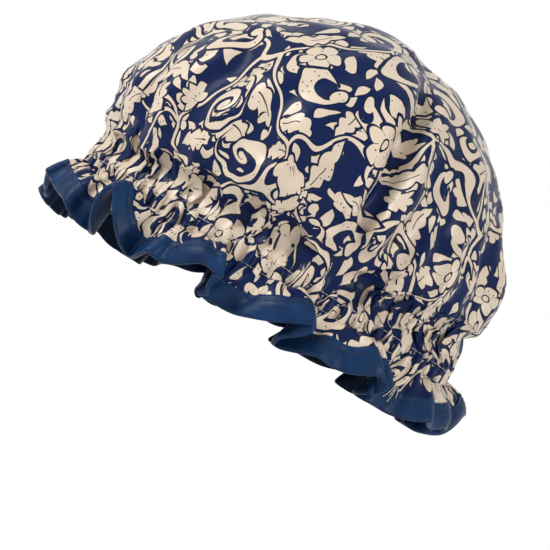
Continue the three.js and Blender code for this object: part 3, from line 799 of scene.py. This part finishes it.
apart = (LINING_DEPTH + LINING_SLACK * loose - LINING_PRESSED * pressed) * MM
smooth_normal = surface_normal(cloth_run, cloth_turn)
lining_way = middle_normal + (smooth_normal - middle_normal) * loose
lining_place = middle_place - lining_way * apart * (1 - at_channel) + inwards * at_channel

# Test that the shell lies over the lining, along rays in millimetres
COVER_GAP = 0.8
COVER_STEP = 1.0
COVER_TRIES = 12
COVER_REACH = 12.0
HIT_STEP = 0.05


def layers_over(cover, place, way):
    """How many layers of the shell a ray crosses on its way out: an odd number from inside the cap."""
    count = 0
    hit = cover.ray_cast(place, way, COVER_REACH * MM)[0]
    while hit:
        count += 1
        hit = cover.ray_cast(hit + way * HIT_STEP * MM, way, COVER_REACH * MM)[0]
    return count


def cover_lining():
    """Corners of the lining that stand out of the crown move in until the shell lies over them."""
    bm = bmesh.new()
    bm.from_mesh(cloth_mesh)
    cover = BVHTree.FromBMesh(bm)
    bm.free()
    for corner in np.nonzero(cloth_run < CHANNEL_TOP - 1)[0]:
        way = Vector(smooth_normal[corner])
        place = Vector(lining_place[corner])
        for _ in range(COVER_TRIES):
            if layers_over(cover, place + way * COVER_GAP * MM, way) % 2:
                lining_place[corner] = place
                break
            place = place - way * COVER_STEP * MM


cover_lining()
shell = with_thickness("printed_shell", middle_place, SHELL_THICKNESS, satin_print)
lining = with_thickness("inner_lining", lining_place, LINING_THICKNESS, film)
lining_mesh = cloth_mesh.copy()
lining_mesh.vertices.foreach_set("co", lining_place.ravel())
lining_mesh.update()
lining_normal = normals_of(lining_mesh)

# Grid of the rim zone: rows of rings, columns of turns, the first at the front
TURN_NUDGE = 0.001
rim_rows = [np.nonzero(np.abs(cloth_run - run) < RING_MATCH)[0] for run in rim_runs]
rim_grid = np.array([row[np.argsort((cloth_turn[row] + TURN_NUDGE) % TAU)] for row in rim_rows])


def rim_value(field, run, column):
    """A field of the cloth's rim at a flat distance and a column, both in between grid points too."""
    run, column = np.broadcast_arrays(np.asarray(run, float), np.asarray(column, float))
    row = np.interp(run, rim_runs, np.arange(len(rim_runs)))
    low = np.minimum(row.astype(int), len(rim_runs) - 2)
    left = np.floor(column).astype(int)
    up, across = (row - low)[..., None], (column - left)[..., None]
    left, right = left % RIM_STEPS, (left + 1) % RIM_STEPS
    return ((field[rim_grid[low, left]] * (1 - across) + field[rim_grid[low, right]] * across) * (1 - up)
            + (field[rim_grid[low + 1, left]] * (1 - across) + field[rim_grid[low + 1, right]] * across) * up)


def nearest_column(run, node):
    """The column of the rim nearest to the middle of a CAD node."""
    middle = sum(np.array(corner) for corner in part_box(node)) / 2
    places = rim_value(middle_place, run, np.arange(RIM_STEPS))
    return int(np.argmin(np.linalg.norm(places - middle, axis=1)))


WALL_POINTS = 13
FOLD_POINTS = 7
INNER_FOLD_POINTS = 5
STITCH_PRESS = 0.25
PRESS_WIDTH = 1.0


def binding_section():
    """Round the folded strip: run on the flat cloth, offset from its middle, and drop past the cut edge."""
    walls = np.linspace(BINDING_TOP, CUT_EDGE, WALL_POINTS)
    pressed = STITCH_PRESS * np.exp(-((walls - STITCH_ROW) / PRESS_WIDTH) ** 2)
    outer = [(run, BINDING_OUT + BINDING_THICKNESS - press, 0) for run, press in zip(walls, pressed)]
    inner = [(run, -BINDING_IN - BINDING_THICKNESS, 0) for run in walls[::-1]]
    middle = (BINDING_OUT - BINDING_IN) / 2
    radius = (BINDING_OUT + BINDING_IN) / 2
    outer_radius = radius + BINDING_THICKNESS
    fold = [(CUT_EDGE, middle + outer_radius * math.cos(turn), outer_radius * math.sin(turn))
            for turn in np.linspace(0, math.pi, FOLD_POINTS)[1:-1]]
    under = [(run, -BINDING_IN, 0) for run in walls]
    inside = [(CUT_EDGE, middle - radius * math.cos(turn), radius * math.sin(turn))
              for turn in np.linspace(0, math.pi, INNER_FOLD_POINTS)[1:-1]]
    back = [(run, BINDING_OUT, 0) for run in walls[::-1]]
    return np.array(outer + fold + inner + under + inside + back)


def nearest_step(angle, steps):
    return np.rint((angle % TAU) / TAU * steps).astype(int) % steps


RING_RADIUS = 4


def closed_ring(points, steps):
    """A ring with a closed section, each corner then known by its two counts."""
    mesh = joined_grid(steps, points, lambda column, row: (
        (RING_RADIUS + math.cos(TAU * row / points)) * math.cos(TAU * column / steps),
        (RING_RADIUS + math.cos(TAU * row / points)) * math.sin(TAU * column / steps),
        math.sin(TAU * row / points)))
    place = coordinates(mesh)
    around = np.arctan2(place[:, 2], np.hypot(place[:, 0], place[:, 1]) - RING_RADIUS)
    return mesh, nearest_step(around, points), nearest_step(np.arctan2(place[:, 1], place[:, 0]), steps)


def face_outwards(mesh):
    bm = bmesh.new()
    bm.from_mesh(mesh)
    bmesh.ops.recalc_face_normals(bm, faces=bm.faces)
    bm.to_mesh(mesh)
    bm.free()


# Binding, thicker where its ends lap
LAP_COLUMNS = 5
LAP_RISE = 0.4
section = binding_section()
binding_mesh, point, column = closed_ring(len(section), RIM_STEPS)
run, offset, drop = (values[:, None] for values in section[point].T)
join_column = nearest_column(BINDING_TOP + 5, "binding_join_thread")
lapped = np.abs((column - join_column + RIM_STEPS // 2) % RIM_STEPS - RIM_STEPS // 2) <= LAP_COLUMNS
offset = offset + LAP_RISE * (lapped[:, None] & (offset > BINDING_OUT + 0.1))
edge_way = (rim_value(middle_place, CUT_EDGE, column)
            - rim_value(middle_place, CUT_EDGE - BINDING_WIDTH / 4, column))
edge_way = edge_way / np.linalg.norm(edge_way, axis=1, keepdims=True)
binding_place = (rim_value(middle_place, run[:, 0], column)
                 + rim_value(middle_normal, run[:, 0], column) * offset * MM + edge_way * drop * MM)
binding_mesh.vertices.foreach_set("co", binding_place.ravel())
face_outwards(binding_mesh)
binding = add_piece("bound_edge", binding_mesh, satin_navy)

# Stitches: short capsules laid along the cloth, a few dozen faces each
STITCH_PITCH = 3.2
STITCH_LENGTH = 2.5


def stitches(name, starts, ends, normals, lift, thickness, material):
    """One stitch from each start to each end, lying on the cloth."""
    bm = bmesh.new()
    bmesh.ops.create_uvsphere(bm, u_segments=6, v_segments=5, radius=1.0)
    capsule = bpy.data.meshes.new("stitch")
    bm.to_mesh(capsule)
    bm.clear()
    for start, end, normal in zip(starts, ends, normals):
        along = Vector(end - start)
        length = along.length
        along.normalize()
        side = Vector(normal).cross(along).normalized()
        above = along.cross(side)
        middle = Vector((start + end) / 2) + above * lift * MM
        turn = Matrix((side, above, along)).transposed().to_4x4()
        size = Matrix.Diagonal((thickness * MM / 2, thickness * MM / 2, length / 2 + thickness * MM / 2, 1))
        stitch = capsule.copy()
        stitch.transform(Matrix.Translation(middle) @ turn @ size)
        bm.from_mesh(stitch)
        bpy.data.meshes.remove(stitch)
    return add_piece(name, made_mesh(bm, name), material)


def stitch_row(name, run, place, normal, lift, thickness, material):
    count = int(TAU * run / STITCH_PITCH)
    middles = np.arange(count) * RIM_STEPS / count
    half = STITCH_LENGTH / STITCH_PITCH / 2 * RIM_STEPS / count
    return stitches(name, rim_value(place, run, middles - half), rim_value(place, run, middles + half),
                    rim_value(normal, run, middles), lift, thickness, material)


# Rows of stitches: CAD node, ring of the cloth, the cloth's places and normals, lift, thickness, material
OUTSIDE = BINDING_OUT + BINDING_THICKNESS - 0.1
INSIDE = -BINDING_IN - BINDING_THICKNESS - 0.05
rows = [("binding_needle_thread", STITCH_ROW, middle_place, middle_normal, OUTSIDE, 0.5, thread_navy),
        ("binding_bobbin_thread", STITCH_ROW, middle_place, middle_normal, INSIDE, 0.5, thread_navy)]
for ring, run in (("channel_top", CHANNEL_TOP), ("channel_bottom", CHANNEL_BOTTOM)):
    rows += [(ring + "_needle_thread", run, middle_place, middle_normal, 0.2, 0.4, thread_pale),
             (ring + "_bobbin_thread", run, lining_place, lining_normal, -0.25, 0.45, thread_pale)]
row_pieces = {row[0]: stitch_row("sewn_" + row[0], *row[1:]) for row in rows}

# Row across the binding where its ends lap
JOIN_STITCHES = 4
JOIN_ASIDE = 2.0
JOIN_LIFT = 0.45
join_runs = np.linspace(BINDING_TOP + 0.8, CUT_EDGE - 0.6, JOIN_STITCHES * 2)
join_places = rim_value(middle_place, join_runs, join_column + JOIN_ASIDE)
join_normals = rim_value(middle_normal, join_runs, join_column + JOIN_ASIDE)
binding_join = stitches("sewn_binding_join_thread", join_places[0::2], join_places[1::2], join_normals[0::2],
                        OUTSIDE + JOIN_LIFT, 0.5, thread_navy)

# Loose thread ends over the binding: where they start, length, and sideways drift
TAILS = [(-2.0, 7.5, -3.0), (-0.7, 6.0, 0.4), (0.6, 8.5, 1.5), (1.6, 5.0, 4.5)]
TAIL_THREAD = 0.45
TAIL_POINTS = 6
TAIL_ABOVE = 1.5
tail_column = nearest_column(BINDING_TOP, "thread_tails")


def thread_tails():
    curve = bpy.data.curves.new("tails", "CURVE")
    curve.dimensions = "3D"
    curve.bevel_depth = TAIL_THREAD * MM / 2
    curve.bevel_resolution = 2
    curve.use_fill_caps = True
    for start, length, drift in TAILS:
        steps = np.linspace(0, 1, TAIL_POINTS)
        runs = BINDING_TOP - TAIL_ABOVE + length * steps
        columns = tail_column + (start + drift * steps ** 1.5) / 2
        places = rim_value(middle_place, runs, columns)
        normals = rim_value(middle_normal, runs, columns)
        lift = (BINDING_OUT + BINDING_THICKNESS + 0.3 + 0.9 * np.sin(steps * 2.4)) * ramp(steps, -0.2, 0.25)
        spline = curve.splines.new("NURBS")
        spline.points.add(len(steps) - 1)
        spline.use_endpoint_u = True
        spline.order_u = 4
        for spot, place in zip(spline.points, places + normals * lift[:, None] * MM):
            spot.co = (*place, 1)
    holder = bpy.data.objects.new("tails", curve)
    scene.collection.objects.link(holder)
    mesh = bpy.data.meshes.new_from_object(evaluated(holder))
    bpy.data.objects.remove(holder)
    return add_piece("loose_thread_tails", mesh, thread_pale)


tails = thread_tails()

# Ribbed elastic: a strip with a closed section, its ends lapped at the back
ELASTIC_WIDTH = 5.0
ELASTIC_RIBS = 6
ELASTIC_STEPS = 360
RIB_DEPTH = 0.06
LAP_START, LAP_END = math.radians(181.7), math.radians(193.3)
LAP_ASIDE = 0.3
LAP_TURN = 0.12


def elastic_strip():
    heights = np.linspace(-0.5, 0.5, ELASTIC_RIBS * 4 + 1)
    ribs = ELASTIC_THICKNESS / 2 - RIB_DEPTH * (1 - np.cos(TAU * heights * ELASTIC_RIBS))
    section = np.concatenate([np.stack([heights, ribs], 1), np.stack([heights[::-1], -ribs[::-1]], 1)])
    points = len(section)
    mesh = joined_grid(ELASTIC_STEPS, points, lambda column, row: (
        column, math.cos(TAU * row / points), math.sin(TAU * row / points)))
    bm = bmesh.new()
    bm.from_mesh(mesh)
    bmesh.ops.holes_fill(bm, edges=[edge for edge in bm.edges if edge.is_boundary], sides=0)
    bm.to_mesh(mesh)
    bm.free()
    counted = coordinates(mesh)
    share = counted[:, 0] / ELASTIC_STEPS
    turn = LAP_START + (TAU + LAP_END - LAP_START) * share
    height, offset = section[nearest_step(np.arctan2(counted[:, 2], counted[:, 1]), points)].T
    outer_lap = LAP_ASIDE * ramp(turn, TAU + LAP_START - LAP_TURN, TAU + LAP_START)
    inner_lap = -LAP_ASIDE * (1 - ramp(turn, LAP_END, LAP_END + LAP_TURN))
    x, y = oval(turn, OPENING_WIDTH / 2, OPENING_LENGTH / 2)
    offset = offset + outer_lap + inner_lap
    place = np.stack([x, y, height * ELASTIC_WIDTH], 1) + outward(turn) * offset[:, None]
    mesh.vertices.foreach_set("co", ((place + RIM_CENTRE) * MM).ravel())
    face_outwards(mesh)
    return add_piece("ribbed_elastic", mesh, elastic_knit)


elastic = elastic_strip()
join_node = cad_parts["elastic_join_thread"]
for slot in join_node.material_slots:
    slot.material = thread_pale

# The CAD nodes that the new pieces stand for are hidden, and the join stitches and thread tails go with the
# nape's body
stretching = [(shell, "crown_shell", "satin_print"), (lining, "waterproof_lining", "waterproof_film"),
              (binding, "edge_binding", "satin_navy"), (elastic, "elastic_band", "elastic")]
stretching += [(piece, node, "thread_navy" if node.startswith("binding") else "thread_pale")
               for node, piece in row_pieces.items()]
for piece, node, slot in stretching:
    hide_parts(node)
    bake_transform(piece)
for piece, node, slot in [(binding_join, "binding_join_thread", "thread_navy"),
                          (tails, "thread_tails", "thread_pale")]:
    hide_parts(node)
    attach(piece, "nape")

# Stage: white floor and background, two soft lamps
FLOOR_HALF = 4
FLOOR_GLOW = 0.62
WORLD_LIGHT = 0.3
LAMP_AIM = Vector((0, 0, 0.08))
bm = bmesh.new()
bmesh.ops.create_grid(bm, x_segments=1, y_segments=1, size=FLOOR_HALF)


def white_behind(tree, light, shown):
    """Strength that the eye and reflections get, and the light's own for all else."""
    rays = add(tree, "LightPath").node.outputs
    seen = add(tree, "Math", rays["Is Camera Ray"], rays["Is Glossy Ray"], operation="MAXIMUM")
    seen = add(tree, "Math", seen, rays["Is Transmission Ray"], operation="MAXIMUM")
    return add(tree, "MapRange", seen, 0.0, 1.0, light, shown)


floor_material, floor_tree, floor_shader = new_material("white_paper", 0.9, 1.4)
floor_shader.inputs["Base Color"].default_value = srgb("#f2f2f2")
floor_shader.inputs["Emission Color"].default_value = (1, 1, 1, 1)
floor_tree.links.new(white_behind(floor_tree, 0.0, FLOOR_GLOW), floor_shader.inputs["Emission Strength"])
floor = add_piece("floor", made_mesh(bm, "floor"), floor_material)

world = bpy.data.worlds.new("studio")
scene.world = world
world.use_nodes = True
sky = world.node_tree.nodes["Background"]
sky.inputs["Color"].default_value = (1, 1, 1, 1)
world.node_tree.links.new(white_behind(world.node_tree, WORLD_LIGHT, 1.0), sky.inputs["Strength"])


def softbox(name, place, size, power):
    lamp = bpy.data.lights.new(name, "AREA")
    lamp.size = size
    lamp.energy = power
    holder = bpy.data.objects.new(name, lamp)
    scene.collection.objects.link(holder)
    holder.location = place
    holder.rotation_euler = (LAMP_AIM - Vector(place)).to_track_quat("-Z", "Y").to_euler()


softbox("key", (0.5, -0.9, 0.65), 0.45, 8.5)
softbox("fill", (0.75, 0.85, 0.2), 0.45, 5.0)

# Camera from the side, just above the floor, rolled so that the rim slopes down to the back
CAMERA_DISTANCE = 1.1
CAMERA_HEIGHT = 0.0005
SENSOR = 36
FRAME_WIDTH = 0.275
RIM_SLOPE = math.radians(31.3)
AIM = Vector((0, RIM_CENTRE[1] + 5.1, RIM_CENTRE[2] + 1.1)) * MM
CAMERA_RISE = -math.asin((AIM.z - CAMERA_HEIGHT) / CAMERA_DISTANCE)
lens = bpy.data.cameras.new("camera")
camera = bpy.data.objects.new("camera", lens)
scene.collection.objects.link(camera)
scene.camera = camera
lens.sensor_width = SENSOR
lens.lens = SENSOR / FRAME_WIDTH * CAMERA_DISTANCE
towards = Vector((math.cos(CAMERA_RISE), 0, math.sin(CAMERA_RISE)))
level = Vector((0, 1, 0))
upright = towards.cross(level)
right = level * math.cos(RIM_SLOPE) + upright * math.sin(RIM_SLOPE)
up = upright * math.cos(RIM_SLOPE) - level * math.sin(RIM_SLOPE)
axes = Matrix((right, up, towards)).transposed().to_4x4()
camera.matrix_world = Matrix.Translation(AIM + towards * CAMERA_DISTANCE) @ axes

scene.view_settings.view_transform = "Standard"
